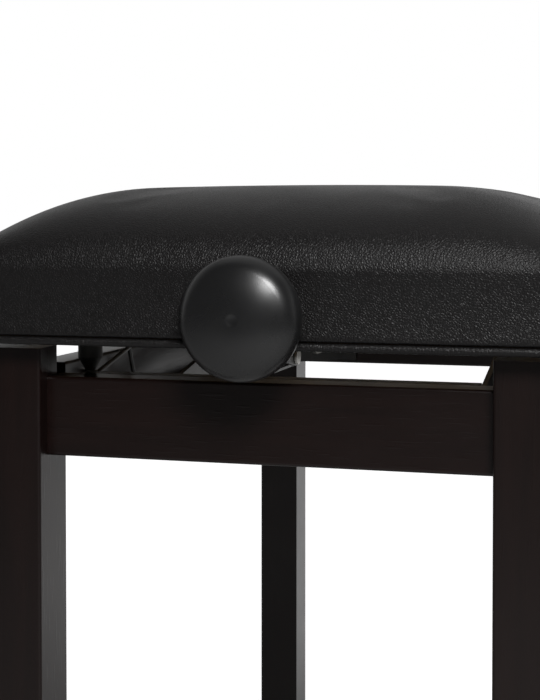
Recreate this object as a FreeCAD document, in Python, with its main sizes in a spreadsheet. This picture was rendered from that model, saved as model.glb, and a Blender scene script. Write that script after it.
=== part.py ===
"""A piano bench whose upholstered seat is raised by a screw-driven scissor lift.

Row frame, in millimetres: X runs along the bench, Y across it, +Z up.  The origin is on the
floor, under the middle of the bench.  The seat is at its lowest height.
"""
import FreeCAD, Part
import Sketcher
import os
import re

doc = FreeCAD.newDocument("PianoBench")
sheet = doc.addObject("Spreadsheet::Sheet", "Dims")

DRIVING = [
    # the wooden frame
    ("frame_length", 547, "over the legs, along X"),
    ("frame_width", 294, "over the legs, along Y"),
    ("leg_width", 32, "side of a leg's square section"),
    ("leg_top", 396, "height of the legs' tops"),
    ("leg_rebate", 11, "flat cut on a leg's inner corner, for the hanger bolt"),
    ("glide_height", 3, "thickness of a foot glide"),
    ("glide_radius", 11, "radius of a foot glide"),
    ("rail_bottom", 340, "height of the rails' lower edges"),
    ("end_rail_height", 41, "depth of an end rail"),
    ("side_rail_height", 46, "depth of a side rail"),
    ("rail_thickness", 20, "thickness of the rails"),
    ("end_rail_recess", 9, "end rail's face behind the legs' end faces"),
    ("wood_round", 1.6, "eased edges of rails and legs"),
    # the corner brackets
    ("bracket_reach", 38, "from the corner to the bracket's bend, along each rail"),
    ("bracket_tab", 14, "length of a bracket's tabs"),
    ("bracket_gauge", 2.5, "steel thickness of a bracket"),
    ("bracket_bottom", 343, "height of a bracket's lower edge"),
    ("bracket_height", 25, "height of a bracket"),
    ("bolt_radius", 3, "radius of a hanger bolt"),
    ("bolt_bite", 31, "how far a hanger bolt goes past the corner, into the leg"),
    ("bolt_tail", 40, "how far a hanger bolt stands into the bench from the corner"),
    ("nut_height", 6, "thickness of a bracket nut"),
    ("nut_round", 6.4, "radius over the corners of a bracket nut"),
    # the lift: two pairs of arms between two pairs of tracks
    ("arm_length", 340, "between an arm's end pivots"),
    ("arm_width", 15, "depth of an arm"),
    ("arm_gauge", 3, "steel thickness of an arm"),
    ("outer_arm_offset", 97.5, "middle of an outer arm from the bench's middle plane"),
    ("inner_arm_offset", 92.5, "middle of an inner arm from the bench's middle plane"),
    ("pivot_place", 167, "fixed pivots, from the middle of the bench along -X"),
    ("low_pivot", 352, "height of the base pivots"),
    ("high_pivot", 415, "height of the seat pivots and of the spindle"),
    ("pin_radius", 4, "radius of every lift pin"),
    ("running_gap", 0.05, "radial clearance of a pin in its bore"),
    ("open_gap", 1.0, "radial clearance at the pivots that the motion leaves open"),
    ("track_length", 376, "length of each track"),
    ("track_height", 18, "depth of a track's channel section"),
    ("track_depth", 14, "width of a track's flanges"),
    ("track_gauge", 2, "steel thickness of a track"),
    ("track_room", 115, "tracks' backs from the bench's middle plane"),
    ("bush_radius", 6, "radius of a slide bush"),
    ("bush_length", 10, "length of a slide bush"),
    ("bush_start", 102, "slide bushes' inner ends from the middle plane"),
    ("tie_bar_size", 10, "side of the square steel bar behind each end rail"),
    ("tie_bar_length", 210, "length of that bar"),
    # what the gap under the seat shows
    ("buffer_radius", 6.5, "radius of a stop buffer"),
    ("buffer_x", 236, "stop buffers from the bench's middle, along X"),
    ("buffer_y", 103, "stop buffers from the bench's middle plane"),
    ("buffer_shoulder", 388.5, "height where a buffer starts to taper"),
    ("buffer_tip", 2.6, "radius of a buffer's tip"),
    ("buffer_clear", 0.6, "between a buffer's tip and the tie bar that stops it"),
    ("wire_radius", 1.3, "radius of the bent guard wire"),
    ("wire_line", 108, "the wire's plane from the bench's middle plane"),
    ("wire_near", 214, "the wire's outer foot, along X"),
    ("wire_near_height", 378, "height of the wire's outer bend"),
    ("wire_peak", 167, "the wire's top bend, along X"),
    ("wire_peak_height", 388, "height of the wire's top bend"),
    ("wire_far", 160, "the wire's inner foot, along X"),
    ("wire_far_height", 371, "height of the wire's inner bend"),
    # the traveller and the spindle
    ("block_width", 18, "traveller's size along the spindle"),
    ("block_height", 15.6, "traveller's height"),
    ("block_length", 176, "traveller's length between its journals"),
    ("nut_collar", 7.9, "radius of the spindle nut's flange"),
    ("nut_flange", 4, "thickness of the spindle nut's flange"),
    ("set_screw_radius", 1.5, "radius of a stop collar's set screw"),
    ("set_screw_sink", 0.6, "how far a set screw sits below its collar's surface"),
    ("knob_lip", 1.5, "chamfer round a knob's back"),
    ("knob_shoulder", 10, "from a knob's widest part to its shoulder, along X"),
    ("knob_fall", 6.4, "how much narrower a knob's shoulder is, in radius"),
    ("knob_side_arc", 11, "radius of the arc of a knob's side"),
    ("knob_face_arc", 40, "radius of the arc of a knob's face"),
    ("dimple_radius", 3.4, "radius of the dimple in a knob's face"),
    ("dimple_depth", 0.4, "depth of the dimple in a knob's face"),
    ("nut_body", 6.9, "radius of the spindle nut's barrel"),
    ("spindle_radius", 5, "radius of the spindle"),
    ("spindle_gap", 1.1, "radial clearance of the spindle in its nut"),
    ("spindle_length", 612, "length of the spindle"),
    ("collar_radius", 8.5, "radius of a stop collar"),
    ("collar_length", 8, "length of a stop collar"),
    ("collar_gap", 0.5, "between a stop collar and the bush it runs against"),
    ("end_bush_radius", 7.4, "barrel radius of a spindle bush"),
    ("end_bush_flange", 8.8, "flange radius of a spindle bush"),
    ("flange_gauge", 2, "thickness of that flange"),
    # the knobs
    ("knob_radius", 30, "largest radius of a knob"),
    ("knob_depth", 24.5, "knob's size along the spindle"),
    ("knob_rim", 9, "from a knob's back to its rim"),
    ("knob_back", 26, "radius of a knob's back face"),
    ("knob_gap", 2, "between a knob's back and the seat"),
    ("insert_radius", 8, "radius of a knob's brass insert"),
    ("insert_length", 15, "length of that insert"),
    # the seat
    ("seat_length", 575, "over the upholstery, along X"),
    ("seat_width", 322, "over the upholstery, along Y"),
    ("cover_gauge", 3.5, "padded cover on the seat's sides"),
    ("seat_base", 401, "height of the seat boards' lower edges"),
    ("board_bottom", 424, "height of the seat board's underside"),
    ("board_gauge", 12, "thickness of every seat board"),
    ("seat_top", 480, "height of the cushion's crown"),
    ("corner_round", 4.5, "seat boards' corner radius"),
    ("cushion_round", 20, "cushion's corner radius in plan"),
    ("crown_round", 18, "rounding of the cushion's upper edges"),
    ("welt_radius", 2.1, "radius of the piping"),
    ("welt_height", 401.2, "height of the piping's middle"),
    ("welt_inset", 1.4, "piping's middle inside the cover's face"),
    ("welt_corner", 8, "piping's corner radius"),
    # fasteners
    ("screw_radius", 1.8, "radius of a screw's shank"),
    ("screw_head", 3.6, "radius of a screw's head"),
    ("screw_grip", 12, "length of a screw's shank"),
    ("screw_pitch", 85, "between the screws of one track"),
]
for row, (alias, number, note) in enumerate(DRIVING, start=1):
    sheet.set(f"A{row}", note)
    sheet.set(f"B{row}", str(number))
    sheet.setAlias(f"B{row}", alias)
doc.recompute()

# Places that several pieces share, as formulas in the sheet's aliases.
LEG_X = "(frame_length - leg_width)/2"
LEG_Y = "(frame_width - leg_width)/2"
CLEAR_X = "(frame_length/2 - leg_width)"
CLEAR_Y = "(frame_width/2 - leg_width)"
RAIL_FACE = "(frame_length/2 - end_rail_recess)"
CORNER_X = f"({RAIL_FACE} - rail_thickness)"
BOLT_Z = "(bracket_bottom + bracket_height/2)"
REST_RISE = "(high_pivot - low_pivot)"
REST_ANGLE = f"asin({REST_RISE}/arm_length)"
REST_REACH = f"(sqrt(arm_length^2 - {REST_RISE}^2))"
SLIDE_X = f"({REST_REACH} - pivot_place)"
BOARD_LENGTH = "(seat_length - 2*cover_gauge)"
BOARD_WIDTH = "(seat_width - 2*cover_gauge)"
BOARD_TOP = "(board_bottom + board_gauge)"
END_BOARD_X = f"({BOARD_LENGTH}/2 - board_gauge/2)"
KNOB_BACK_X = "(seat_length/2 + knob_gap)"

X, Y, Z = FreeCAD.Vector(1, 0, 0), FreeCAD.Vector(0, 1, 0), FreeCAD.Vector(0, 0, 1)
SIDES = {"front": -1, "rear": 1}
ENDS = {"left": -1, "right": 1}
nodes = []


# ---------------------------------------------------------------- helpers
def formula(text):
    """Prefix each alias with the sheet's name, so that the document can evaluate it."""
    return re.sub(r"\b([a-z]\w*_\w+)\b", r"Dims.\1", str(text))


def number(text):
    """The present value of a formula, in millimetres."""
    found = sheet.evalExpression(formula(text))
    return float(getattr(found, "Value", found))


def bind(item, **sizes):
    """Bind each named property of an object to its formula."""
    for name, text in sizes.items():
        item.setExpression(name, formula(text))
    return item


def place(item, x, y, z, turn=None):
    """Put an object's own origin at (x, y, z), turned by a fixed rotation."""
    if turn is not None:
        item.Placement = FreeCAD.Placement(FreeCAD.Vector(), turn)
    for axis, text in zip("xyz", (x, y, z)):
        item.setExpression(f"Placement.Base.{axis}", formula(text))
    return item


def node(item, label):
    """Make an object one of the bench's pieces, under its own name."""
    item.Label = label
    nodes.append(item)
    return item


def box(x, y, z, length, width, height):
    """A box centred on (x, y), standing on z."""
    item = doc.addObject("Part::Box", "Box")
    bind(item, Length=length, Width=width, Height=height)
    return place(item, f"{x} - ({length})/2", f"{y} - ({width})/2", z)


def rod(x, y, z, direction, radius, length):
    """A cylinder from (x, y, z) along a direction."""
    item = doc.addObject("Part::Cylinder", "Rod")
    bind(item, Radius=radius, Height=length)
    return place(item, x, y, z, FreeCAD.Rotation(Z, direction))


def cut(base, *tools):
    """A solid less one tool or several."""
    item = doc.addObject("Part::Cut", "Cut")
    item.Base = base
    item.Tool = tools[0] if len(tools) == 1 else group(*tools)
    return item


def fuse(*members):
    """Several touching solids as one."""
    item = doc.addObject("Part::MultiFuse", "Fuse")
    item.Shapes = list(members)
    return item


def group(*members):
    """Separate solids that share one object."""
    item = doc.addObject("Part::Compound", "Group")
    item.Links = list(members)
    return item


def along(shape, direction):
    """The numbers of a shape's straight edges that run along a direction."""
    found = []
    for index, edge in enumerate(shape.Edges, start=1):
        if not isinstance(edge.Curve, Part.Line):
            continue
        if abs(abs(edge.tangentAt(edge.FirstParameter).dot(direction)) - 1) < 1e-6:
            found.append(index)
    return found


def eased(base, radius, indices=None, direction=None):
    """A solid with the chosen edges rounded."""
    doc.recompute()
    chosen = indices or along(base.Shape, direction)
    item = doc.addObject("Part::Fillet", "Eased")
    item.Base = base
    item.Edges = [(index, number(radius), number(radius)) for index in chosen]
    return item


# ---------------------------------------------------------------- sketched bodies
def new_body(label):
    return doc.addObject("PartDesign::Body", label + "_body")


def sketch_on(body, role, lift=None):
    """A sketch on one of a body's own planes, lifted off it along the plane's normal."""
    sketch = body.newObject("Sketcher::SketchObject", body.Name + "_sketch")
    plane = next(item for item in body.Origin.OriginFeatures if item.Role == role)
    sketch.AttachmentSupport = (plane, [""])
    sketch.MapMode = "FlatFace"
    if lift is not None:
        sketch.setExpression("AttachmentOffset.Base.z", formula(lift))
    return sketch


def fix(sketch, kind, text, *where):
    """One sized constraint, bound to its formula."""
    index = sketch.addConstraint(Sketcher.Constraint(kind, *where, number(text)))
    sketch.setExpression(f"Constraints[{index}]", formula(text))


def hold_point(sketch, edge, end, x, y):
    """Hold one end of an edge at (x, y) from the sketch's origin."""
    fix(sketch, "DistanceX", x, -1, 1, edge, end)
    fix(sketch, "DistanceY", y, -1, 1, edge, end)


def outline(sketch, points):
    """A closed outline.

    Each point is (x, y), or (x, y, radius) where an arc of that radius leads to the next point,
    turning clockwise.  A half circle stands on an upright chord, and is held by its middle.
    """
    spots = [FreeCAD.Vector(number(point[0]), number(point[1]), 0) for point in points]
    for index, point in enumerate(points):
        start = spots[index]
        end = spots[(index + 1) % len(points)]
        if len(point) == 2:
            sketch.addGeometry(Part.LineSegment(start, end), False)
            continue
        chord = end - start
        radius = number(point[2])
        height = max(radius**2 - (chord.Length / 2) ** 2, 0) ** 0.5
        normal = FreeCAD.Vector(chord.y, -chord.x, 0).normalize()
        crest = (start + end) / 2 - normal * (radius - height)
        sketch.addGeometry(Part.ArcOfCircle(end, crest, start), False)
    for index, point in enumerate(points):
        following = (index + 1) % len(points)
        first = start_end(sketch, index, spots[index])
        last = start_end(sketch, index, spots[following])
        onward = start_end(sketch, following, spots[following])
        sketch.addConstraint(Sketcher.Constraint("Coincident", index, last, following, onward))
        hold_point(sketch, index, first, point[0], point[1])
        if len(point) == 3 and abs((spots[following] - spots[index]).Length / 2
                                   - number(point[2])) < 1e-6:
            fix(sketch, "DistanceX", point[0], -1, 1, index, 3)
        elif len(point) == 3:
            fix(sketch, "Radius", point[2], index)


def start_end(sketch, index, spot):
    """Which end of an edge, 1 or 2, is at a spot."""
    edge = sketch.Geometry[index]
    return 1 if (edge.StartPoint - spot).Length < (edge.EndPoint - spot).Length else 2


def ring(sketch, x, y, radius):
    """A circle in a sketch."""
    middle = FreeCAD.Vector(number(x), number(y), 0)
    index = sketch.addGeometry(Part.Circle(middle, Z, number(radius)), False)
    fix(sketch, "Radius", radius, index)
    hold_point(sketch, index, 3, x, y)


def pad(body, sketch, length, both_ways=False):
    """Push a sketch out to a length, or half of it each way."""
    item = body.newObject("PartDesign::Pad", body.Name + "_pad")
    item.Profile = sketch
    item.Refine = True
    if both_ways:
        item.SideType = "Symmetric"
    item.setExpression("Length", formula(length))
    return item


def turned(body, sketch):
    """Turn a sketch about its own horizontal axis."""
    item = body.newObject("PartDesign::Revolution", body.Name + "_turned")
    item.Profile = sketch
    item.ReferenceAxis = (sketch, ["H_Axis"])
    item.Angle = 360
    return item


# ---------------------------------------------------------------- the corner hardware
def corner_rod(sx, sy, inward, radius, length):
    """A rod on a corner's diagonal, from a distance inside the corner, pointing outwards."""
    return rod(f"{sx}*({CORNER_X} - ({inward})/sqrt(2))", f"{sy}*({CLEAR_Y} - ({inward})/sqrt(2))",
               BOLT_Z, FreeCAD.Vector(sx, sy, 0), radius, length)


CORNERS = [(1, 1, 0), (-1, 1, 90), (-1, -1, 180), (1, -1, 270)]
bolt_length = "bolt_tail + bolt_bite"
bolts = [corner_rod(sx, sy, "bolt_tail", "bolt_radius", bolt_length) for sx, sy, _ in CORNERS]
bolt_room = group(*[corner_rod(sx, sy, "bolt_tail", "bolt_radius + 1", bolt_length)
                    for sx, sy, _ in CORNERS])


def make_legs():
    """Four square legs, each with a flat on its inner corner above the rails' lower edges."""
    for (sx, sy, turn), bolt in zip(CORNERS, bolts):
        label = f"leg_{'front' if sy < 0 else 'rear'}_{'left' if sx < 0 else 'right'}"
        body = new_body(label)
        half = "leg_width/2"
        low = sketch_on(body, "XY_Plane")
        outline(low, [(f"-{half}", f"-{half}"), (half, f"-{half}"), (half, half), (f"-{half}", half)])
        pad(body, low, "rail_bottom - glide_height")
        high = sketch_on(body, "XY_Plane", "rail_bottom - glide_height")
        outline(high, [(f"leg_rebate - {half}", f"-{half}"), (half, f"-{half}"), (half, half),
                       (f"-{half}", half), (f"-{half}", f"leg_rebate - {half}")])
        pad(body, high, "leg_top - rail_bottom")
        doc.recompute()
        edges = []
        for index, edge in enumerate(body.Shape.Edges, start=1):
            middle = edge.CenterOfMass
            upright = abs(edge.tangentAt(edge.FirstParameter).z) > 0.99
            if upright and max(middle.x, middle.y) > number(half) - 0.1:
                edges.append(f"Edge{index}")
        eased_edges = body.newObject("PartDesign::Fillet", label + "_eased")
        eased_edges.Base = (body.Group[-2], edges)
        eased_edges.setExpression("Radius", formula("wood_round"))
        place(body, f"{sx}*{LEG_X}", f"{sy}*{LEG_Y}", "glide_height", FreeCAD.Rotation(Z, turn))
        node(cut(body, bolt), label)


def make_glides():
    """A plastic glide under each leg."""
    for sx, sy, _ in CORNERS:
        label = f"foot_glide_{'front' if sy < 0 else 'rear'}_{'left' if sx < 0 else 'right'}"
        node(rod(f"{sx}*{LEG_X}", f"{sy}*{LEG_Y}", "0", Z, "glide_radius", "glide_height"), label)


def track_screws(y, z, direction):
    """Three screws in a row along X, each a shank and a pan head."""
    made = []
    for step in (-1, 0, 1):
        x = f"{step}*screw_pitch"
        shank = rod(x, y, z, direction, "screw_radius", "screw_grip")
        head = rod(x, y, z, direction * -1, "screw_head", "2")
        made.append(fuse(shank, head))
    return made


base_screws = []
for sign in SIDES.values():
    base_screws += track_screws(f"{sign}*(track_room - track_gauge)", "low_pivot", Y * sign)
base_screw_set = group(*base_screws)


def make_rails():
    """Two end rails between the legs and two deeper side rails."""
    for name, sign in ENDS.items():
        blank = box(f"{sign}*({RAIL_FACE} - rail_thickness/2)", "0", "rail_bottom",
                    "rail_thickness", f"2*{CLEAR_Y}", "end_rail_height")
        node(cut(eased(blank, "wood_round", direction=Y), bolt_room), f"end_rail_{name}")
    for name, sign in SIDES.items():
        blank = box("0", f"{sign}*({CLEAR_Y} + rail_thickness/2)", "rail_bottom",
                    f"2*{CLEAR_X}", "rail_thickness", "side_rail_height")
        node(cut(eased(blank, "wood_round", direction=X), bolt_room, base_screw_set),
             f"side_rail_{name}")


def make_brackets():
    """A bent steel bracket across each corner, on a hanger bolt with its nut."""
    reach, tab, gauge = "bracket_reach", "bracket_tab", "bracket_gauge"
    bend = f"({reach} + (sqrt(2) - 1)*{gauge})"
    for sx, sy, turn in CORNERS:
        label = f"corner_bracket_{'front' if sy < 0 else 'rear'}_{'left' if sx < 0 else 'right'}"
        body = new_body(label)
        sketch = sketch_on(body, "XY_Plane")
        outline(sketch, [(f"-{reach} - {tab}", "0"), (f"-{reach}", "0"), ("0", f"-{reach}"),
                         ("0", f"-{reach} - {tab}"), (f"-{gauge}", f"-{reach} - {tab}"),
                         (f"-{gauge}", f"-{bend}"), (f"-{bend}", f"-{gauge}"),
                         (f"-{reach} - {tab}", f"-{gauge}")])
        pad(body, sketch, "bracket_height")
        place(body, f"{sx}*{CORNER_X}", f"{sy}*{CLEAR_Y}", "bracket_bottom",
              FreeCAD.Rotation(Z, turn))
        node(cut(body, bolt_room), label)
    node(group(*bolts), "hanger_bolts")
    nuts = []
    for (sx, sy, _), bolt in zip(CORNERS, bolts):
        hexagon = doc.addObject("Part::Prism", "Nut")
        hexagon.Polygon = 6
        bind(hexagon, Circumradius="nut_round", Height="nut_height")
        inward = "bracket_reach/sqrt(2) + bracket_gauge + nut_height"
        place(hexagon, f"{sx}*({CORNER_X} - ({inward})/sqrt(2))",
              f"{sy}*({CLEAR_Y} - ({inward})/sqrt(2))", BOLT_Z,
              FreeCAD.Rotation(Z, FreeCAD.Vector(sx, sy, 0)))
        nuts.append(cut(hexagon, bolt))
    node(group(*nuts), "hanger_nuts")


# ---------------------------------------------------------------- the tracks
def make_tracks(height, name_stem):
    """A pair of channel tracks that face each other, with their slide line at a height."""
    half, back, gauge = "track_height/2", "track_depth", "track_gauge"
    for name, sign in SIDES.items():
        label = f"{name_stem}_{name}"
        body = new_body(label)
        sketch = sketch_on(body, "YZ_Plane")
        outline(sketch, [("0", f"-{half}"), ("0", half), (f"-{back}", half),
                         (f"-{back}", f"{half} - {gauge}"), (f"-{gauge}", f"{half} - {gauge}"),
                         (f"-{gauge}", f"{gauge} - {half}"), (f"-{back}", f"{gauge} - {half}"),
                         (f"-{back}", f"-{half}")])
        pad(body, sketch, "track_length", both_ways=True)
        place(body, "0", f"{sign}*track_room", height, FreeCAD.Rotation(Z, 0 if sign > 0 else 180))
        yield label, sign, body


def make_base():
    """The lift's base: tracks on the side rails, tie bars behind the end rails, and screws."""
    for label, sign, body in make_tracks("low_pivot", "base_track"):
        node(cut(body, base_screw_set), label)
    node(base_screw_set, "base_track_screws")
    for name, sign in ENDS.items():
        node(box(f"{sign}*({CORNER_X} - tie_bar_size/2)", "0",
                 "rail_bottom + end_rail_height - tie_bar_size",
                 "tie_bar_size", "tie_bar_length", "tie_bar_size"), f"tie_bar_{name}")


def pivot_pin(sign, height, arm_middle):
    """A headed pin from a track's web through a fixed pivot, with a wider shoulder up to the arm."""
    web = "(track_room - track_gauge)"
    arm_face = f"({arm_middle} + arm_gauge/2 + 0.5)"
    head_face = f"({arm_middle} - arm_gauge/2 - 0.5)"
    direction = Y * -sign
    shoulder = rod("-pivot_place", f"{sign}*{web}", height, direction, "bush_radius - 0.5",
                   f"{web} - {arm_face}")
    shank = rod("-pivot_place", f"{sign}*{web}", height, direction, "pin_radius",
                f"{web} - {head_face}")
    head = rod("-pivot_place", f"{sign}*{head_face}", height, direction, "pin_radius + 2.5", "2")
    return fuse(shoulder, shank, head)


# ---------------------------------------------------------------- the arms
def arm(label, end_bores, middle_bore):
    """A flat arm along +X from its fixed pivot, with round ends and three bores."""
    body = new_body(label)
    sketch = sketch_on(body, "XZ_Plane")
    half = "arm_width/2"
    outline(sketch, [("0", half), ("arm_length", half, half), ("arm_length", f"-{half}"),
                     ("0", f"-{half}", half)])
    ring(sketch, "0", "0", end_bores[0])
    ring(sketch, "arm_length/2", "0", middle_bore)
    ring(sketch, "arm_length", "0", end_bores[1])
    pad(body, sketch, "arm_gauge", both_ways=True)
    return body


def tilt(item, x, y, z, down):
    """Put an arm's pivot at (x, y, z) and lean the arm up, or down, by the rest angle."""
    place(item, x, y, z, FreeCAD.Rotation(Y * (1 if down else -1), 10))
    item.setExpression("Placement.Rotation.Angle", formula(REST_ANGLE))
    return item


def make_arms():
    """Outer arms on the base, inner arms on the seat, and the pins and rod they carry."""
    loose = "pin_radius + running_gap"
    middle_x, middle_z = f"(-pivot_place + {REST_REACH}/2)", f"(low_pivot + {REST_RISE}/2)"
    centre_pins = []
    for name, sign in SIDES.items():
        outer = arm(f"outer_arm_{name}", (loose, loose), "pin_radius")
        tilt(outer, "-pivot_place", f"{sign}*outer_arm_offset", "low_pivot", down=False)
        node(outer, f"outer_arm_{name}")
        inner = arm(f"inner_arm_{name}", (loose, "pin_radius"), "pin_radius + open_gap")
        tilt(inner, "-pivot_place", f"{sign}*inner_arm_offset", "high_pivot", down=True)
        node(inner, f"inner_arm_{name}")
        outside = "(outer_arm_offset + arm_gauge/2)"
        inside = "(inner_arm_offset - arm_gauge/2 - 1)"
        pin = rod(middle_x, f"{sign}*{outside}", middle_z, Y * -sign, "pin_radius",
                  f"{outside} - {inside}")
        cap = rod(middle_x, f"{sign}*{outside}", middle_z, Y * sign, "pin_radius + 2.5", "2")
        clip = rod(middle_x, f"{sign}*{inside}", middle_z, Y * -sign, "pin_radius + 2.5", "1.5")
        centre_pins.append(fuse(pin, cap, clip))
    node(group(*centre_pins), "centre_pins")
    for label, height, arm_middle in (("base_pivot_pins", "low_pivot", "outer_arm_offset"),
                                      ("seat_pivot_pins", "high_pivot", "inner_arm_offset")):
        node(group(*[pivot_pin(sign, height, arm_middle) for sign in SIDES.values()]), label)
    tip = "(bush_start + bush_length)"
    node(rod(SLIDE_X, f"-{tip}", "low_pivot", Y, "pin_radius", f"2*{tip}"), "slide_rod")
    for name, sign in SIDES.items():
        for stem, height in (("base_slide_bush", "low_pivot"), ("seat_slide_bush", "high_pivot")):
            start = f"{sign}*bush_start"
            barrel = rod(SLIDE_X, start, height, Y * sign, "bush_radius", "bush_length")
            bore = rod(SLIDE_X, start, height, Y * sign, "pin_radius", "bush_length")
            node(cut(barrel, bore), f"{stem}_{name}")


def make_buffers():
    """A rubber stop buffer under the seat board at two opposite corners, over the tie bars."""
    tip_z = "(rail_bottom + end_rail_height + buffer_clear)"
    made = []
    for sign in (1, -1):
        x, y = f"{sign}*buffer_x", f"{-sign}*buffer_y"
        barrel = rod(x, y, "buffer_shoulder", Z, "buffer_radius", "board_bottom - buffer_shoulder")
        cone = doc.addObject("Part::Cone", "Taper")
        bind(cone, Radius1="buffer_tip", Radius2="buffer_radius",
             Height=f"buffer_shoulder - {tip_z}")
        place(cone, x, y, tip_z)
        made.append(fuse(barrel, cone))
    node(group(*made), "stop_buffers")


def wire_run(start, end):
    """One straight run of wire between two points, with a ball at its end for the bend."""
    first, last = (FreeCAD.Vector(*map(number, point)) for point in (start, end))
    run = rod(*start, last - first, "wire_radius", "wire_radius")
    squares = " + ".join(f"({b} - ({a}))^2" for a, b in zip(start, end))
    run.setExpression("Height", formula(f"sqrt({squares})"))
    ball = doc.addObject("Part::Sphere", "Bend")
    bind(ball, Radius="wire_radius")
    place(ball, *end)
    return [run, ball]


def make_guard_wires():
    """A bent wire over the end of the arms' slide, its feet in the side rail, at two corners."""
    made = []
    for sign in (1, -1):
        line, wood = f"{-sign}*wire_line", f"{-sign}*{CLEAR_Y}"
        route = [(f"{sign}*wire_near", wood, "wire_near_height"),
                 (f"{sign}*wire_near", line, "wire_near_height"),
                 (f"{sign}*wire_peak", line, "wire_peak_height"),
                 (f"{sign}*wire_far", line, "wire_far_height"),
                 (f"{sign}*wire_far", wood, "wire_far_height")]
        pieces = []
        for start, end in zip(route, route[1:]):
            pieces += wire_run(start, end)
        made.append(fuse(*pieces[:-1]))
    node(group(*made), "guard_wires")


def make_traveller():
    """The bar that the spindle draws along the seat's tracks, and its brass nut."""
    bar = box(SLIDE_X, "0", "high_pivot - block_height/2", "block_width", "block_length",
              "block_height")
    tip = "(bush_start + bush_length)"
    journals = rod(SLIDE_X, f"-{tip}", "high_pivot", Y, "pin_radius", f"2*{tip}")
    seat_of_nut = rod(f"{SLIDE_X} - block_width/2", "0", "high_pivot", X, "nut_body", "block_width")
    node(cut(fuse(bar, journals), seat_of_nut), "traveller_bar")
    barrel = rod(f"{SLIDE_X} - block_width/2", "0", "high_pivot", X, "nut_body", "block_width")
    flange = rod(f"{SLIDE_X} + block_width/2", "0", "high_pivot", X, "nut_collar", "nut_flange")
    bore = rod(f"{SLIDE_X} - block_width/2", "0", "high_pivot", X, "spindle_radius + spindle_gap",
               "block_width + nut_flange")
    node(cut(fuse(barrel, flange), bore), "traveller_nut")


# ---------------------------------------------------------------- the spindle and its knobs
def make_spindle():
    """The spindle, with a stop collar and a knob at each end."""
    node(rod("-spindle_length/2", "0", "high_pivot", X, "spindle_radius", "spindle_length"),
         "spindle_rod")
    set_screws = []
    for name, sign in ENDS.items():
        outer = f"({END_BOARD_X} - board_gauge/2 - flange_gauge - collar_gap)"
        start = f"{sign}*{outer}"
        barrel = rod(start, "0", "high_pivot", X * -sign, "collar_radius", "collar_length")
        bore = rod(start, "0", "high_pivot", X * -sign, "spindle_radius", "collar_length")
        screw_x = f"{sign}*({outer} - collar_length/2)"
        screw = rod(screw_x, "0", "high_pivot + spindle_radius", Z,
                    "set_screw_radius", "collar_radius - spindle_radius - set_screw_sink")
        node(cut(barrel, bore, screw), f"stop_collar_{name}")
        set_screws.append(screw)
        back = f"{sign}*{KNOB_BACK_X}"
        shell = rod(back, "0", "high_pivot", X * sign, "insert_radius", "insert_length")
        hole = rod(back, "0", "high_pivot", X * sign, "spindle_radius", "insert_length")
        node(cut(shell, hole), f"knob_insert_{name}")
        knob = new_body(f"knob_{name}")
        sketch = sketch_on(knob, "XZ_Plane")
        rod_end = f"(spindle_length/2 - {KNOB_BACK_X})"
        outline(sketch, [("0", "insert_radius"), ("0", "knob_back"),
                         ("knob_lip", "knob_back + knob_lip"), ("knob_rim", "knob_radius", "knob_side_arc"),
                         ("knob_rim + knob_shoulder", "knob_radius - knob_fall", "knob_face_arc"),
                         ("knob_depth", "dimple_radius"),
                         ("knob_depth - dimple_depth", "0"), (rod_end, "0"), (rod_end, "spindle_radius"),
                         ("insert_length", "spindle_radius"), ("insert_length", "insert_radius")])
        turned(knob, sketch)
        place(knob, back, "0", "high_pivot", FreeCAD.Rotation(Z, 0 if sign > 0 else 180))
        node(knob, f"knob_{name}")
    node(group(*set_screws), "set_screws")


# ---------------------------------------------------------------- the seat
def make_seat_boards():
    """The seat board, on a box of four boards that the spindle's bushes sit in."""
    board = box("0", "0", "board_bottom", BOARD_LENGTH, BOARD_WIDTH, "board_gauge")
    upper_screws = []
    for sign in SIDES.values():
        upper_screws += track_screws(f"{sign}*(track_room - track_depth/2)",
                                     "board_bottom - track_gauge", Z)
    screw_set = group(*upper_screws)
    node(cut(eased(board, "corner_round", direction=Z), screw_set), "seat_board")
    depth = "board_bottom - seat_base"
    for name, sign in ENDS.items():
        blank = box(f"{sign}*{END_BOARD_X}", "0", "seat_base", "board_gauge", BOARD_WIDTH, depth)
        doc.recompute()
        outer = [index for index in along(blank.Shape, Z)
                 if blank.Shape.Edges[index - 1].CenterOfMass.x * sign > number(END_BOARD_X)]
        hole = rod(f"{sign}*({END_BOARD_X} - board_gauge/2)", "0", "high_pivot", X * sign,
                   "end_bush_radius", "board_gauge")
        node(cut(eased(blank, "corner_round", indices=outer), hole), f"seat_end_board_{name}")
    for name, sign in SIDES.items():
        node(box("0", f"{sign}*({BOARD_WIDTH}/2 - board_gauge/2)", "seat_base",
                 f"{BOARD_LENGTH} - 2*board_gauge", "board_gauge", depth), f"seat_side_board_{name}")
    for label, sign, body in make_tracks("board_bottom - track_height/2", "seat_track"):
        node(cut(body, screw_set), label)
    node(screw_set, "seat_track_screws")


def make_spindle_bushes():
    """A flanged plastic bush in each end board, with a running fit on the spindle."""
    for name, sign in ENDS.items():
        inner = f"({END_BOARD_X} - board_gauge/2)"
        barrel = rod(f"{sign}*{inner}", "0", "high_pivot", X * sign, "end_bush_radius", "board_gauge")
        flange = rod(f"{sign}*{inner}", "0", "high_pivot", X * -sign, "end_bush_flange",
                     "flange_gauge")
        bore = rod(f"{sign}*({inner} - flange_gauge)", "0", "high_pivot", X * sign,
                   "spindle_radius + running_gap", "board_gauge + flange_gauge")
        node(cut(fuse(barrel, flange), bore), f"spindle_bush_{name}")


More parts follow.
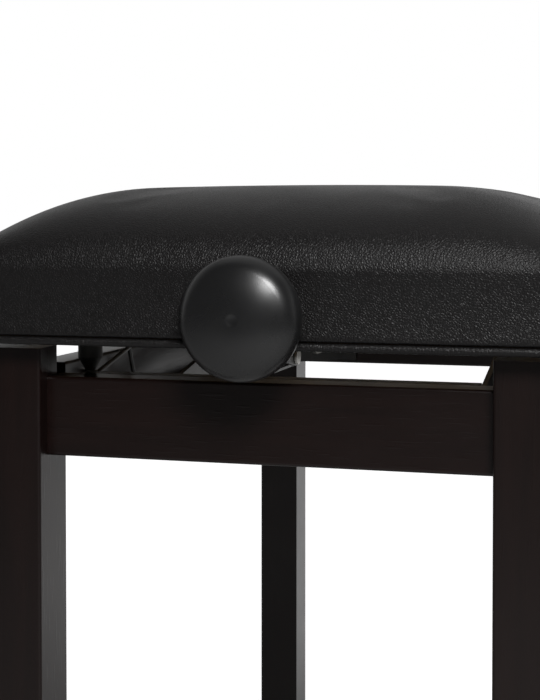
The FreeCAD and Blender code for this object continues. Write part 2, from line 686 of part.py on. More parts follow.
def make_upholstery():
    """The padded cover round the seat's sides, the cushion on its top, and the piping."""
    height = f"{BOARD_TOP} - (welt_height + welt_radius)"
    outer = eased(box("0", "0", "welt_height + welt_radius", "seat_length", "seat_width", height),
                  "corner_round + cover_gauge", direction=Z)
    inner = eased(box("0", "0", "welt_height + welt_radius", BOARD_LENGTH, BOARD_WIDTH, height),
                  "corner_round", direction=Z)
    holes = rod("-seat_length/2", "0", "high_pivot", X, "spindle_radius + 1", "seat_length")
    node(cut(outer, inner, holes), "seat_cover")
    block = box("0", "0", BOARD_TOP, "seat_length", "seat_width", f"seat_top - {BOARD_TOP}")
    round_block = eased(block, "cushion_round", direction=Z)
    doc.recompute()
    top_edges = [index for index, edge in enumerate(round_block.Shape.Edges, start=1)
                 if edge.CenterOfMass.z > number("seat_top") - 0.01]
    node(eased(round_block, "crown_round", indices=top_edges), "seat_cushion")


def make_piping():
    """A round piping along the cover's lower edge, swept round the seat's rounded rectangle."""
    body = new_body("seat_piping")
    half_x, half_y = "(seat_length/2 - welt_inset)", "(seat_width/2 - welt_inset)"
    turn = "welt_corner"
    route = sketch_on(body, "XY_Plane")
    outline(route, [("0", half_y), (f"{half_x} - {turn}", half_y, turn),
                    (half_x, f"{half_y} - {turn}"), (half_x, f"{turn} - {half_y}", turn),
                    (f"{half_x} - {turn}", f"-{half_y}"), (f"{turn} - {half_x}", f"-{half_y}", turn),
                    (f"-{half_x}", f"{turn} - {half_y}"), (f"-{half_x}", f"{half_y} - {turn}", turn),
                    (f"{turn} - {half_x}", half_y)])
    section = sketch_on(body, "YZ_Plane")
    ring(section, half_y, "0", "welt_radius")
    pipe = body.newObject("PartDesign::AdditivePipe", "piping_sweep")
    pipe.Profile = section
    pipe.Spine = (route, [f"Edge{index}" for index in range(1, 10)])
    place(body, "0", "0", "welt_height", FreeCAD.Rotation(Z, 0))
    node(body, "seat_piping")


make_legs()
make_glides()
make_rails()
make_brackets()
make_base()
make_arms()
make_buffers()
make_guard_wires()
make_traveller()
make_spindle()
make_seat_boards()
make_spindle_bushes()
make_upholstery()
make_piping()
doc.recompute()

# ---------------------------------------------------------------- check and write
for item in doc.Objects:
    if {"Invalid", "Error"} & set(item.State):
        raise RuntimeError(f"{item.Label} did not build: {item.State}")
for item in nodes:
    if item.Shape.isNull() or not item.Shape.isValid() or not item.Shape.Solids:
        raise RuntimeError(f"{item.Label} has no valid solid")
os.makedirs("parts", exist_ok=True)
for item in nodes:
    item.Shape.exportStep(os.path.join("parts", item.Label + ".step"))
print(len(nodes), "pieces written")
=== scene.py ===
import math

import bmesh
import bpy
import numpy as np
from mathutils import Matrix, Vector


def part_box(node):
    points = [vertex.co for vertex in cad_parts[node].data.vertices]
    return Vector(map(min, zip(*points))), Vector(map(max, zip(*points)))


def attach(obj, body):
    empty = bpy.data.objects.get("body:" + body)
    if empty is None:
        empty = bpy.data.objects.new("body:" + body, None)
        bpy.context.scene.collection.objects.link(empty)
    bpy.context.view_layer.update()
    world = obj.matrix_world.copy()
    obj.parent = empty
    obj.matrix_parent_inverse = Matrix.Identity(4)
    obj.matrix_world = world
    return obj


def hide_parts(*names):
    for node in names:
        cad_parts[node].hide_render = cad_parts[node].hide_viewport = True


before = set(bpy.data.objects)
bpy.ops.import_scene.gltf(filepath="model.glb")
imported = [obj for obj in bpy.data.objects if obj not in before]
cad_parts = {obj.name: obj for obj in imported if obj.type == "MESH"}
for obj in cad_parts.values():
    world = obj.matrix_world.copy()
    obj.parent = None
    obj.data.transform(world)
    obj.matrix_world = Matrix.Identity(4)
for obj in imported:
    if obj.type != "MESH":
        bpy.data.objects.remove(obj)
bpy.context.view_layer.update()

bl_info = {
    "name": "Adjustable Piano Bench",
    "version": (1, 0, 0),
    "blender": (4, 5, 0),
    "location": "View3D > Sidebar > Bench",
    "description": "Finishes a piano bench: crowned seat, piping, knobs, lacquered wood and lift steel",
    "category": "Object",
}

MM = 0.001
COVER_LOW, COVER_HIGH = (np.array(corner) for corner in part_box("seat_cover"))
CUSHION_HIGH = np.array(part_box("seat_cushion")[1])
BOARD_HIGH = np.array(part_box("seat_board")[1])
PIPING_LOW, PIPING_HIGH = (np.array(corner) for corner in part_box("seat_piping"))
SPINDLE_LOW, SPINDLE_HIGH = (np.array(corner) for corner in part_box("spindle_rod"))

ROLL_OUTER, ROLL_INNER = 1.84, 1.90     # the powers that shape the seat's rolled edge
COVER_SLACK = 0.0002                    # between the cover and the boards inside it


# ------------------------------------------------------------------ what a user may change
class BENCH_PG_seat(bpy.types.PropertyGroup):
    """Sizes of the upholstered seat."""
    shoulder: bpy.props.FloatProperty(
        name="Shoulder", description="Height where the seat's sides start to round over",
        default=0.4390, unit="LENGTH")
    roll_x: bpy.props.FloatProperty(
        name="End roll", description="How far the rounding reaches in from the seat's ends",
        default=0.0800, unit="LENGTH")
    roll_y: bpy.props.FloatProperty(
        name="Side roll", description="How far the rounding reaches in from the seat's long sides",
        default=0.0750, unit="LENGTH")
    fill: bpy.props.FloatProperty(
        name="Fill", description="Height that the padding adds over the plain cushion",
        default=0.0021, unit="LENGTH")
    dome: bpy.props.FloatProperty(
        name="Dome", description="Extra height of the crown over the middle of the seat",
        default=0.0059, unit="LENGTH")
    corner: bpy.props.FloatProperty(
        name="Corner", description="Radius of the seat's corners in plan",
        default=0.012, unit="LENGTH")
    swell: bpy.props.FloatProperty(
        name="Swell", description="Most that the padding may swell in the cloth simulation",
        default=0.001, unit="LENGTH")
    spindle_hole: bpy.props.FloatProperty(
        name="Spindle hole", description="Radius of the holes in the cover's ends",
        default=0.0068, unit="LENGTH")
    pressure: bpy.props.FloatProperty(
        name="Pressure", description="Pressure of the padding under its cover", default=1.2)
    hem: bpy.props.FloatProperty(
        name="Hem", description="Width of the cover that is turned under the seat boards",
        default=0.017, unit="LENGTH")


class BENCH_PG_lift(bpy.types.PropertyGroup):
    """Sizes of the screw lift."""
    thread_pitch: bpy.props.FloatProperty(
        name="Thread pitch", description="Pitch of the spindle's thread", default=0.003,
        unit="LENGTH")
    thread_depth: bpy.props.FloatProperty(
        name="Thread depth", description="Depth of the spindle's thread", default=0.0009,
        unit="LENGTH")


class BENCH_PG_finish(bpy.types.PropertyGroup):
    """Colours of the bench."""
    leather: bpy.props.FloatVectorProperty(
        name="Leatherette", description="Colour of the seat's cover", subtype="COLOR",
        default=(0.0044, 0.0038, 0.0039))
    lacquer: bpy.props.FloatVectorProperty(
        name="Lacquer", description="Colour of the stained and lacquered wood", subtype="COLOR",
        default=(0.0052, 0.0022, 0.0018))
    knob: bpy.props.FloatVectorProperty(
        name="Knob", description="Colour of the knobs' plastic", subtype="COLOR",
        default=(0.0085, 0.0085, 0.0088))
    steel: bpy.props.FloatVectorProperty(
        name="Painted steel", description="Colour of the lift's painted steel", subtype="COLOR",
        default=(0.012, 0.0115, 0.011))


class BENCH_PG_studio(bpy.types.PropertyGroup):
    """The camera and the light."""
    camera_place: bpy.props.FloatVectorProperty(
        name="Camera", description="The camera's place", default=(0.9332, 0.1942, 0.4608),
        unit="LENGTH")
    camera_turn: bpy.props.FloatProperty(
        name="Turn", description="The view's turn off the bench's length", subtype="ANGLE",
        default=math.radians(15.83))
    camera_dip: bpy.props.FloatProperty(
        name="Dip", description="The view's dip below level", subtype="ANGLE",
        default=math.radians(1.5))
    focal_length: bpy.props.FloatProperty(
        name="Focal length", description="The lens's focal length in millimetres", default=72.68)
    shift: bpy.props.FloatProperty(
        name="Shift", description="The lens's upright shift", default=-0.1309)
    key_power: bpy.props.FloatProperty(
        name="Key light", description="Power of the key softbox in watts", default=28.0)
    top_power: bpy.props.FloatProperty(
        name="Top light", description="Power of the overhead softbox in watts", default=3.0)


# ------------------------------------------------------------------ meshes from whole arrays
def lattice_faces(rows, columns, wrap_rows=False, wrap_columns=False):
    """Quads of a rows x columns lattice of points, numbered row by row."""
    row = np.arange(rows if wrap_rows else rows - 1)
    column = np.arange(columns if wrap_columns else columns - 1)
    row, column = np.meshgrid(row, column, indexing="ij")
    next_row, next_column = (row + 1) % rows, (column + 1) % columns
    quads = np.stack([row * columns + column, row * columns + next_column,
                      next_row * columns + next_column, next_row * columns + column], axis=-1)
    return quads.reshape(-1, 4)


def new_piece(name, points, faces, material, body, smooth=True):
    """A mesh object from arrays of points and quads, with its finish, riding on a body."""
    mesh = bpy.data.meshes.new(name)
    mesh.from_pydata(points.reshape(-1, 3).tolist(), [], faces.tolist())
    mesh.polygons.foreach_set("use_smooth", np.full(len(mesh.polygons), smooth))
    mesh.update()
    mesh.materials.append(material)
    piece = bpy.data.objects.new(name, mesh)
    bpy.context.scene.collection.objects.link(piece)
    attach(piece, body)
    return piece


def stack_patches(patches):
    """One array of points and one of quads from several (points, quads) patches."""
    counts = np.cumsum([0] + [len(points) for points, _ in patches[:-1]])
    points = np.concatenate([points for points, _ in patches])
    faces = np.concatenate([faces + start for (_, faces), start in zip(patches, counts)])
    return points, faces


def weld(piece, distance=1e-6):
    """Merge the points that patches share, and turn every face outwards."""
    work = bmesh.new()
    work.from_mesh(piece.data)
    bmesh.ops.remove_doubles(work, verts=work.verts, dist=distance)
    bmesh.ops.recalc_face_normals(work, faces=work.faces)
    work.to_mesh(piece.data)
    work.free()


def smooth_step(value):
    """0 below 0, 1 above 1, and 3t^2 - 2t^3 between them."""
    value = np.clip(value, 0, 1)
    return value * value * (3 - 2 * value)


def arc(middle, radius, start, end, count):
    """Points of a circle's arc, from one angle to another in degrees."""
    angle = np.radians(np.linspace(start, end, count))
    return np.stack([middle[0] + radius * np.cos(angle), middle[1] + radius * np.sin(angle)], -1)


# ------------------------------------------------------------------ shader building
class Finish:
    """A material, with short ways to add its nodes."""

    def __init__(self, name, colour=(0.5, 0.5, 0.5), roughness=0.5, metallic=0.0):
        self.material = bpy.data.materials.new(name)
        self.material.use_nodes = True
        self.material.diffuse_color = (*colour, 1)
        self.tree = self.material.node_tree
        self.shader = self.tree.nodes["Principled BSDF"]
        self.shader.inputs["Base Color"].default_value = (*colour, 1)
        self.shader.inputs["Roughness"].default_value = roughness
        self.shader.inputs["Metallic"].default_value = metallic
        self.place = self.add("ShaderNodeTexCoord").outputs["Object"]

    def add(self, kind, **settings):
        """Add a node to this material."""
        return add_node(self.tree, kind, **settings)

    def link(self, source, target):
        """Join two of this material's sockets."""
        self.tree.links.new(source, target)

    def group(self, tree, **values):
        """Place a shared effect, with this material's own values."""
        made = self.add("ShaderNodeGroup")
        made.node_tree = tree
        self.link(self.place, made.inputs["Place"])
        for name, value in values.items():
            made.inputs[name].default_value = value
        return made

    def blend(self, mask, low, high, target):
        """Mix two colours by a mask into one of the shader's sockets."""
        mix = self.add("ShaderNodeMix", data_type="RGBA")
        self.link(mask, mix.inputs["Factor"])
        mix.inputs[6].default_value = (*low, 1)
        mix.inputs[7].default_value = (*high, 1)
        self.link(mix.outputs[2], self.shader.inputs[target])

    def span(self, mask, low, high, target):
        """Spread a mask between two values into one of the shader's sockets."""
        spread = self.add("ShaderNodeMapRange")
        self.link(mask, spread.inputs["Value"])
        spread.inputs["To Min"].default_value = low
        spread.inputs["To Max"].default_value = high
        self.link(spread.outputs["Result"], self.shader.inputs[target])

    def bump(self, height, distance, strength):
        """Raise the surface by a height."""
        made = self.add("ShaderNodeBump")
        made.inputs["Strength"].default_value = strength
        made.inputs["Distance"].default_value = distance
        self.link(height, made.inputs["Height"])
        self.link(made.outputs["Normal"], self.shader.inputs["Normal"])


def add_node(tree, kind, **settings):
    """A node with its settings; a name that is an input sets that input."""
    made = tree.nodes.new(kind)
    for name, value in settings.items():
        label = name.replace("_", " ").title()
        if label in made.inputs and not hasattr(made, name):
            made.inputs[label].default_value = value
        else:
            setattr(made, name, value)
    return made


def new_effect(name, inputs, outputs):
    """An empty shared node group with named inputs and outputs."""
    tree = bpy.data.node_groups.new(name, "ShaderNodeTree")
    tree.interface.new_socket("Place", in_out="INPUT", socket_type="NodeSocketVector")
    for label, default in inputs.items():
        socket = tree.interface.new_socket(label, in_out="INPUT", socket_type="NodeSocketFloat")
        socket.default_value = default
    for label in outputs:
        tree.interface.new_socket(label, in_out="OUTPUT", socket_type="NodeSocketFloat")
    return tree, tree.nodes.new("NodeGroupInput"), tree.nodes.new("NodeGroupOutput")


def math_node(tree, operation, first, second):
    """One sum; each side is a socket or a number."""
    made = tree.nodes.new("ShaderNodeMath")
    made.operation = operation
    for socket, value in zip(made.inputs, (first, second)):
        if isinstance(value, (int, float)):
            socket.default_value = value
        else:
            tree.links.new(value, socket)
    return made.outputs[0]


def pebble_effect():
    """Pressed leather grain: small rounded pebbles between creases, which soft noise bends."""
    tree, source, result = new_effect("Pebbled grain", {"Scale": 800.0, "Crease": 0.5},
                                      ["Height", "Valley shade"])
    bend = add_node(tree, "ShaderNodeTexNoise", scale=260.0, detail=2.0)
    tree.links.new(source.outputs["Place"], bend.inputs["Vector"])
    shift = add_node(tree, "ShaderNodeVectorMath", operation="MULTIPLY_ADD")
    tree.links.new(bend.outputs["Color"], shift.inputs[0])
    shift.inputs[1].default_value = (0.0016, 0.0016, 0.0016)
    tree.links.new(source.outputs["Place"], shift.inputs[2])
    cells = add_node(tree, "ShaderNodeTexVoronoi", feature="DISTANCE_TO_EDGE")
    tree.links.new(shift.outputs["Vector"], cells.inputs["Vector"])
    tree.links.new(source.outputs["Scale"], cells.inputs["Scale"])
    pebble = add_node(tree, "ShaderNodeMapRange", interpolation_type="SMOOTHSTEP")
    tree.links.new(cells.outputs["Distance"], pebble.inputs["Value"])
    pebble.inputs["From Max"].default_value = 0.32
    fold = add_node(tree, "ShaderNodeTexNoise", scale=95.0, detail=5.0, roughness=0.62)
    tree.links.new(source.outputs["Place"], fold.inputs["Vector"])
    folded = math_node(tree, "MULTIPLY", fold.outputs["Fac"], source.outputs["Crease"])
    height = math_node(tree, "ADD", pebble.outputs["Result"], folded)
    tree.links.new(height, result.inputs["Height"])
    # the valleys between the pebbles, a mask for painted shade
    valley_shade = math_node(tree, "SUBTRACT", 1.0, pebble.outputs["Result"])
    tree.links.new(valley_shade, result.inputs["Valley shade"])
    return tree


def handling_effect():
    """Where hands and cloths have been: broad soft smears with finer specks of dust."""
    tree, source, result = new_effect("Handling", {"Smear": 14.0, "Speck": 900.0},
                                      ["Smears", "Dust"])
    smear = add_node(tree, "ShaderNodeTexNoise", detail=4.0, roughness=0.6, distortion=0.6)
    tree.links.new(source.outputs["Place"], smear.inputs["Vector"])
    tree.links.new(source.outputs["Smear"], smear.inputs["Scale"])
    tree.links.new(smear.outputs["Fac"], result.inputs["Smears"])
    speck = add_node(tree, "ShaderNodeTexNoise", detail=2.0)
    tree.links.new(source.outputs["Place"], speck.inputs["Vector"])
    tree.links.new(source.outputs["Speck"], speck.inputs["Scale"])
    dust = add_node(tree, "ShaderNodeMapRange", interpolation_type="SMOOTHSTEP")
    tree.links.new(speck.outputs["Fac"], dust.inputs["Value"])
    dust.inputs["From Min"].default_value = 0.62
    dust.inputs["From Max"].default_value = 0.78
    tree.links.new(dust.outputs["Result"], result.inputs["Dust"])
    return tree


def wood_effect():
    """Straight wood figure: long streaks and short open pores, for a place stretched by the caller."""
    tree, source, result = new_effect("Wood figure", {"Streaks": 1.0, "Pores": 6.0},
                                      ["Figure", "Pore"])
    streak = add_node(tree, "ShaderNodeTexNoise", detail=6.0, roughness=0.58, distortion=0.35)
    tree.links.new(source.outputs["Place"], streak.inputs["Vector"])
    tree.links.new(source.outputs["Streaks"], streak.inputs["Scale"])
    tree.links.new(streak.outputs["Fac"], result.inputs["Figure"])
    pore = add_node(tree, "ShaderNodeTexNoise", detail=1.0)
    tree.links.new(source.outputs["Place"], pore.inputs["Vector"])
    tree.links.new(source.outputs["Pores"], pore.inputs["Scale"])
    open_pore = add_node(tree, "ShaderNodeMapRange", interpolation_type="SMOOTHSTEP")
    tree.links.new(pore.outputs["Fac"], open_pore.inputs["Value"])
    open_pore.inputs["From Min"].default_value = 0.60
    open_pore.inputs["From Max"].default_value = 0.72
    tree.links.new(open_pore.outputs["Result"], result.inputs["Pore"])
    return tree


EFFECTS = {}


def effect(name, build):
    """A shared effect, built the first time that a finish asks for it."""
    if name not in EFFECTS:
        EFFECTS[name] = build()
    return EFFECTS[name]


def brighter(colour, factor):
    """A colour times a factor, kept within white."""
    return tuple(min(channel * factor, 1.0) for channel in colour)


def leather_finish():
    """Black leatherette: pressed pebbles, with painted shade in the valleys between them and a painted
    highlight on their tops.
    """
    base = tuple(bpy.context.scene.bench_finish.leather)
    made = Finish("black_leatherette", base, 0.42)
    made.shader.inputs["IOR"].default_value = 1.36
    grain = made.group(effect("pebble", pebble_effect), Scale=760.0, Crease=0.8)
    hands = made.group(effect("handling", handling_effect), Smear=16.0)
    # painted shade: the grain's valleys darker, and the pebble tops lighter as a painted highlight
    made.blend(grain.outputs["Valley shade"], brighter(base, 1.35), brighter(base, 0.7), "Base Color")
    made.span(hands.outputs["Smears"], 0.36, 0.54, "Roughness")
    made.bump(grain.outputs["Height"], 0.00012, 0.9)
    return made.material


def lacquer_finish(name, stretch):
    """Dark stained wood under a satin lacquer, with its figure stretched along one axis."""
    base = tuple(bpy.context.scene.bench_finish.lacquer)
    made = Finish(name, base, 0.3)
    mapping = made.add("ShaderNodeMapping")
    mapping.inputs["Scale"].default_value = stretch
    made.link(made.place, mapping.inputs["Vector"])
    figure = made.add("ShaderNodeGroup")
    figure.node_tree = effect("wood", wood_effect)
    made.link(mapping.outputs["Vector"], figure.inputs["Place"])
    figure.inputs["Streaks"].default_value = 1.0
    figure.inputs["Pores"].default_value = 7.0
    hands = made.group(effect("handling", handling_effect), Smear=11.0)
    made.blend(figure.outputs["Figure"], brighter(base, 0.55), brighter(base, 1.9), "Base Color")
    made.span(hands.outputs["Smears"], 0.22, 0.40, "Roughness")
    made.bump(figure.outputs["Pore"], 0.00006, 0.5)
    made.shader.inputs["IOR"].default_value = 1.36
    return made.material


def plastic_finish(name, base, roughness, speck=900.0):
    """Moulded plastic with faint smears and a little dust."""
    made = Finish(name, base, roughness)
    hands = made.group(effect("handling", handling_effect), Smear=30.0, Speck=speck)
    made.span(hands.outputs["Smears"], roughness * 0.7, roughness * 1.6, "Roughness")
    made.blend(hands.outputs["Dust"], base, brighter(base, 1.6), "Base Color")
    return made.material


def painted_finish():
    """Satin black paint on steel, with a fine orange peel and a few dull smears."""
    base = tuple(bpy.context.scene.bench_finish.steel)
    made = Finish("painted_steel", base, 0.42)
    hands = made.group(effect("handling", handling_effect), Smear=40.0, Speck=1400.0)
    made.span(hands.outputs["Smears"], 0.30, 0.56, "Roughness")
    made.blend(hands.outputs["Dust"], base, brighter(base, 3.0), "Base Color")
    peel = made.add("ShaderNodeTexNoise", scale=700.0, detail=2.0)
    made.link(made.place, peel.inputs["Vector"])
    made.bump(peel.outputs["Fac"], 0.00005, 0.5)
    return made.material


def metal_finish(name, base, roughness, stretch):
    """Bare or plated metal with fine tool marks stretched along one axis."""
    made = Finish(name, base, roughness, 1.0)
    mapping = made.add("ShaderNodeMapping")
    mapping.inputs["Scale"].default_value = stretch
    made.link(made.place, mapping.inputs["Vector"])
    marks = made.add("ShaderNodeTexNoise", scale=1.0, detail=4.0)
    made.link(mapping.outputs["Vector"], marks.inputs["Vector"])
    made.span(marks.outputs["Fac"], roughness * 0.6, roughness * 1.5, "Roughness")
    made.bump(marks.outputs["Fac"], 0.00003, 0.4)
    hands = made.group(effect("handling", handling_effect), Smear=60.0)
    made.blend(hands.outputs["Smears"], brighter(base, 0.8), brighter(base, 1.15), "Base Color")
    return made.material


def plywood_finish():
    """Raw birch ply: pale faces, and thin dark glue lines between its layers."""
    made = Finish("birch_ply", (0.42, 0.29, 0.16), 0.65)
    split = made.add("ShaderNodeSeparateXYZ")
    made.link(made.place, split.inputs["Vector"])
    layers = math_node(made.tree, "PINGPONG", split.outputs["Z"], 0.0012)
    line = made.add("ShaderNodeMapRange", interpolation_type="SMOOTHSTEP")
    made.link(layers, line.inputs["Value"])
    line.inputs["From Max"].default_value = 0.0005
    mapping = made.add("ShaderNodeMapping")
    mapping.inputs["Scale"].default_value = (9.0, 120.0, 120.0)
    made.link(made.place, mapping.inputs["Vector"])
    figure = made.add("ShaderNodeGroup")
    figure.node_tree = effect("wood", wood_effect)
    made.link(mapping.outputs["Vector"], figure.inputs["Place"])
    mask = math_node(made.tree, "MULTIPLY", line.outputs["Result"], figure.outputs["Figure"])
    made.blend(mask, (0.20, 0.12, 0.06), (0.62, 0.46, 0.28), "Base Color")
    made.bump(figure.outputs["Pore"], 0.00008, 0.5)
    return made.material


# ------------------------------------------------------------------ the seat
def round_corners(x, y, half_x, half_y, radius):
    """Move a rectangle's points so that its corners are round.

    Within a corner's square, a point's offset from the corner's centre is scaled by its larger part
    over its length, which turns the square into a quarter disc.
    """
    middle_x = np.clip(x, radius - half_x, half_x - radius)
    middle_y = np.clip(y, radius - half_y, half_y - radius)
    off_x, off_y = x - middle_x, y - middle_y
    length = np.hypot(off_x, off_y)
    scale = np.where(length > 0, np.maximum(abs(off_x), abs(off_y)) / np.maximum(length, 1e-9), 1)
    return middle_x + off_x * scale, middle_y + off_y * scale


def roll(distance, reach):
    """Rise over a rolled edge: (1 - left^outer)^(1/inner), a slightly flattened quarter ellipse."""
    left = 1 - np.clip(distance / reach, 0, 1)
    return (1 - left ** ROLL_OUTER) ** (1 / ROLL_INNER)


def eased_steps(half, finest, coarsest):
    """Steps from -half to half that are finest at both ends."""
    count = int(2 * half / coarsest) + 24
    t = np.linspace(-1, 1, count)
    blend = finest / coarsest
    return half * (t * (1 - 0.35 * (1 - blend)) + 0.35 * (1 - blend) * np.sin(t * math.pi / 2))


def loop_of(grid):
    """The border points of a lattice, once round."""
    return np.concatenate([grid[:-1, 0], grid[-1, :-1], grid[:0:-1, -1], grid[0, :0:-1]])


def seat_surface(seat):
    """The crowned top, the sides, the turned-in lower edge and the hollow for the boards.

    Over a rectangle of half sizes a and b, the top is
    z = shoulder + (top - dome - shoulder) roll(a - |x|) roll(b - |y|) + dome (1 - x^2/a^2)(1 - y^2/b^2)
    and the sides drop from its border, drawn in by waist sin(pi t) on the way down.
    """
    half = COVER_HIGH[:2]
    top = CUSHION_HIGH[2] + seat.fill
    x, y = np.meshgrid(eased_steps(half[0], 2.2 * MM, 6 * MM), eased_steps(half[1], 2.2 * MM, 6 * MM),
                       indexing="ij")
    rise = roll(half[0] - abs(x), seat.roll_x) * roll(half[1] - abs(y), seat.roll_y)
    dome = seat.dome * (1 - (x / half[0]) ** 2) * (1 - (y / half[1]) ** 2)
    z = seat.shoulder + (top - seat.dome - seat.shoulder) * rise + dome
    round_x, round_y = round_corners(x, y, half[0], half[1], seat.corner)
    crown = np.stack([round_x, round_y, z], -1)

    border = loop_of(crown)
    low = COVER_LOW[2]
    levels = np.linspace(seat.shoulder, low, 15)
    fall = (seat.shoulder - levels) / (seat.shoulder - low)
    waist = 0.0008
    pull = waist * np.sin(fall * math.pi)
    rings = []
    for level, tuck in zip(levels, pull):
        ring = border.copy()
        ring[:, :2] *= 1 - tuck / half
        ring[:, 2] = level
        rings.append(ring)
    wall = COVER_HIGH[0] - BOARD_HIGH[0] - COVER_SLACK
    ceiling_level = BOARD_HIGH[2] + COVER_SLACK
    corner_ring = 0.0007        # a ring this far below the ceiling keeps its corner sharp
    for level in (low, ceiling_level - corner_ring, ceiling_level):
        ring = border.copy()
        ring[:, :2] *= 1 - wall / half
        ring[:, 2] = level
        rings.append(ring)
    ceiling = crown.copy()
    ceiling[..., :2] *= 1 - wall / half
    ceiling[..., 2] = ceiling_level
    sides = np.stack(rings)
    return stack_patches([
        (crown.reshape(-1, 3), lattice_faces(*crown.shape[:2])),
        (sides.reshape(-1, 3), lattice_faces(*sides.shape[:2], wrap_columns=True)),
        (ceiling.reshape(-1, 3), lattice_faces(*ceiling.shape[:2])),
    ])


def swell(piece, seat):
    """Let the padding swell under its cover, held where the cover is glued to the boards."""
    mesh = piece.data
    count = len(mesh.vertices)
    start = np.empty(count * 3)
    mesh.vertices.foreach_get("co", start)
    start = start.reshape(-1, 3)
    free = smooth_step((start[:, 2] - seat.shoulder + 0.004) / 0.012)
    held = piece.vertex_groups.new(name="held")
    for weight in np.unique(np.round(1 - free, 2)):
        chosen = np.nonzero(np.round(1 - free, 2) == weight)[0]
        held.add(chosen.tolist(), float(weight), "REPLACE")
    cloth = piece.modifiers.new("Padding", "CLOTH")
    settings = cloth.settings
    settings.quality = 6
    settings.mass = 0.4
    settings.tension_stiffness = 22
    settings.compression_stiffness = 22
    settings.shear_stiffness = 12
    settings.bending_stiffness = 6
    settings.use_pressure = True
    settings.uniform_pressure_force = seat.pressure
    settings.effector_weights.gravity = 0
    settings.vertex_group_mass = held.name
    cloth.point_cache.frame_start = 1
    cloth.point_cache.frame_end = 16
    for moment in range(1, 17):
        bpy.context.scene.frame_set(moment)
    shown = piece.evaluated_get(bpy.context.evaluated_depsgraph_get())
    end = np.empty(count * 3)
    shown.data.vertices.foreach_get("co", end)
    move = end.reshape(-1, 3) - start
    length = np.linalg.norm(move, axis=1, keepdims=True)
    move *= seat.swell * np.tanh(length / seat.swell) / np.maximum(length, 1e-9)
    piece.modifiers.remove(cloth)
    bpy.context.scene.frame_set(1)
    mesh.vertices.foreach_set("co", (start + move).ravel())
    mesh.update()


def pierce(piece, radius):
    """Cut the holes that the spindle leaves the cover through, one in each end."""
    middle = (SPINDLE_HIGH + SPINDLE_LOW) / 2
    work = bmesh.new()
    bmesh.ops.create_cone(
        work, cap_ends=True, segments=32, radius1=radius, radius2=radius,
        depth=SPINDLE_HIGH[0] - SPINDLE_LOW[0],
        matrix=Matrix.Translation(middle.tolist()) @ Matrix.Rotation(math.pi / 2, 4, "Y"))
    drill = bpy.data.objects.new("drill", bpy.data.meshes.new("drill"))
    work.to_mesh(drill.data)
    work.free()
    bpy.context.scene.collection.objects.link(drill)
    holes = piece.modifiers.new("Holes", "BOOLEAN")
    holes.operation = "DIFFERENCE"
    holes.solver = "EXACT"
    holes.object = drill
    shown = piece.evaluated_get(bpy.context.evaluated_depsgraph_get())
    pierced = bpy.data.meshes.new_from_object(shown)
    piece.modifiers.remove(holes)
    piece.data = pierced
    bpy.data.objects.remove(drill)


class BENCH_OT_seat(bpy.types.Operator):
    """Make the padded seat in place of the plain cushion and cover"""
    bl_idname = "bench.seat"
    bl_label = "Padded seat"

    def execute(self, context):
        seat = context.scene.bench_seat
        points, faces = seat_surface(seat)
        piece = new_piece("padded_seat", points, faces, leather_finish(), "seat")
        weld(piece)
        swell(piece, seat)
        pierce(piece, seat.spindle_hole)
        finer = piece.modifiers.new("Finer", "SUBSURF")
        finer.levels = finer.render_levels = 1
        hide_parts("seat_cushion", "seat_cover")
        return {"FINISHED"}


def rounded_loop(half_x, half_y, radius, spacing):
    """Points of a rounded rectangle and the outward direction at each, by its arcs and sides."""
    middles = [(half_x - radius, half_y - radius), (radius - half_x, half_y - radius),
               (radius - half_x, radius - half_y), (half_x - radius, radius - half_y)]
    corners = [arc(middle, radius, start, start + 90, 9)
               for middle, start in zip(middles, (0, 90, 180, 270))]
    points = []
    for corner, onward in zip(corners, corners[1:] + corners[:1]):
        length = np.linalg.norm(onward[0] - corner[-1])
        side = np.linspace(corner[-1], onward[0], int(length / spacing) + 2)[1:-1]
        points += [corner, side]
    loop = np.concatenate(points)
    ahead = np.roll(loop, -1, axis=0) - np.roll(loop, 1, axis=0)
    outward = np.stack([ahead[:, 1], -ahead[:, 0]], -1)
    return loop, outward / np.linalg.norm(outward, axis=1, keepdims=True)


